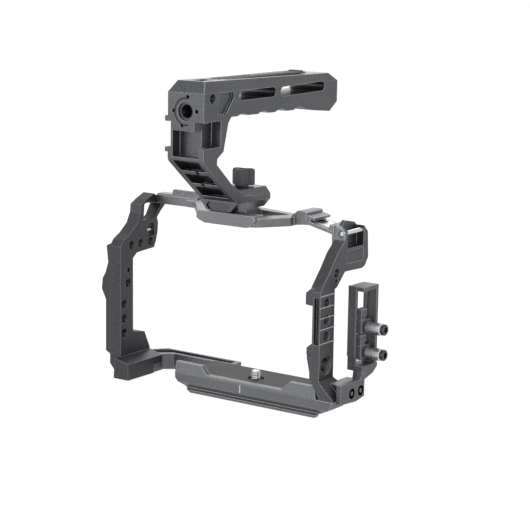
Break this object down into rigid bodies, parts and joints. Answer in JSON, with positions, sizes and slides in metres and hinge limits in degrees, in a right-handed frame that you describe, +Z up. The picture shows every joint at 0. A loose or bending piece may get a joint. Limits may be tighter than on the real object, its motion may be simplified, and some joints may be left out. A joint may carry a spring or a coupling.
{
  "type": "camera cage",
  "caption": "Open metal frame round a camera with a dovetail base, a top handle on a rail and a cable clamp on the side.",
  "frame": {"origin": "axis of the camera screw at the camera seat", "axes": "+Z up, +X toward the port side, -Y toward the lens"},
  "size_m": [0.2184, 0.163, 0.2281],
  "materials": {
    "dark_anodised": "fine blasted dark grey anodising",
    "black_anodised": "fine blasted black anodising",
    "grey_anodised": "fine blasted grey anodising",
    "seat_rubber": "matte grey rubber",
    "grip_rubber": "matte black silicone rubber",
    "bright_steel": "satin stainless steel",
    "black_steel": "blackened spring steel",
    "knob_plastic": "matte black moulded plastic",
    "brass": "plain brass"
  },
  "bodies": {
    "cage": {"base_plate": "dark_anodised", "base_pad": "seat_rubber", "screw_retainer": "black_steel", "port_column": "black_anodised", "port_insert": "black_anodised", "port_strap_pin": "bright_steel", "top_bar": "grey_anodised", "rear_bar": "grey_anodised", "shoe_spring": "bright_steel", "handle_rail": "black_anodised", "rail_screws": "bright_steel", "catch_spring": "bright_steel", "grip_plate": "black_anodised", "grip_pad": "grip_rubber", "grip_strap_pin": "bright_steel", "lower_arm": "dark_anodised", "frame_screws": "bright_steel", "insert_screws": "bright_steel", "cable_clamp_frame": "black_anodised", "cable_clamp_screws": "bright_steel"},
    "camera_screw": {"camera_screw": "bright_steel"},
    "catch_pin": {"catch_pin": "bright_steel"},
    "handle": {"handle_body": "black_anodised", "handle_top_strip": "grip_rubber", "mount_bush": "bright_steel"},
    "pressure_block": {"pressure_block": "brass"},
    "wing_knob": {"wing_knob": "knob_plastic"},
    "upper_carriage": {"upper_carriage": "black_anodised"},
    "upper_thumb_screw": {"upper_thumb_screw": "bright_steel"},
    "upper_lock_plate": {"upper_lock_plate": "bright_steel"},
    "lower_carriage": {"lower_carriage": "black_anodised"},
    "lower_thumb_screw": {"lower_thumb_screw": "bright_steel"},
    "lower_lock_plate": {"lower_lock_plate": "bright_steel"}
  },
  "joints": [
    {"name": "camera_screw_turn", "type": "hinge", "parent": "cage", "child": "camera_screw", "pos_m": [0, 0, 0], "axis": [0, 0, 1], "continuous": true},
    {"name": "catch_pin_press", "type": "slide", "parent": "cage", "child": "catch_pin", "axis": [0, 0, 1], "range_m": [-0.0014, 0], "stiffness_N_per_m": 400, "springref_m": 0.002, "deforming": ["catch_spring"]},
    {"name": "handle_slide", "type": "slide", "parent": "cage", "child": "handle", "axis": [0, 1, 0], "range_m": [-0.004, 0.004]},
    {"name": "pressure_block_lift", "type": "slide", "parent": "handle", "child": "pressure_block", "axis": [0, 0, 1], "range_m": [0, 0.0008]},
    {"name": "wing_knob_turn", "type": "hinge", "parent": "pressure_block", "child": "wing_knob", "pos_m": [-0.0205, 0.0086, 0.14], "axis": [0, 0, 1], "range_deg": [0, 360]},
    {"name": "upper_carriage_slide", "type": "slide", "parent": "cage", "child": "upper_carriage", "axis": [0, 0, 1], "range_m": [0, 0.0125]},
    {"name": "upper_thumb_screw_turn", "type": "hinge", "parent": "upper_carriage", "child": "upper_thumb_screw", "pos_m": [0.08, 0.0206, 0.0443], "axis": [1, 0, 0], "range_deg": [0, 540]},
    {"name": "upper_lock_plate_draw", "type": "slide", "parent": "upper_carriage", "child": "upper_lock_plate", "axis": [1, 0, 0], "range_m": [-0.00075, 0]},
    {"name": "lower_carriage_slide", "type": "slide", "parent": "cage", "child": "lower_carriage", "axis": [0, 0, 1], "range_m": [-0.003, 0]},
    {"name": "lower_thumb_screw_turn", "type": "hinge", "parent": "lower_carriage", "child": "lower_thumb_screw", "pos_m": [0.08, 0.0206, 0.0266], "axis": [1, 0, 0], "range_deg": [0, 540]},
    {"name": "lower_lock_plate_draw", "type": "slide", "parent": "lower_carriage", "child": "lower_lock_plate", "axis": [1, 0, 0], "range_m": [-0.00075, 0]}
  ],
  "couplings": [
    {"joint": "wing_knob_turn", "follows": "pressure_block_lift", "rad_per_m": 7853.9},
    {"joint": "upper_thumb_screw_turn", "follows": "upper_lock_plate_draw", "rad_per_m": -12566},
    {"joint": "lower_thumb_screw_turn", "follows": "lower_lock_plate_draw", "rad_per_m": -12566}
  ]
}
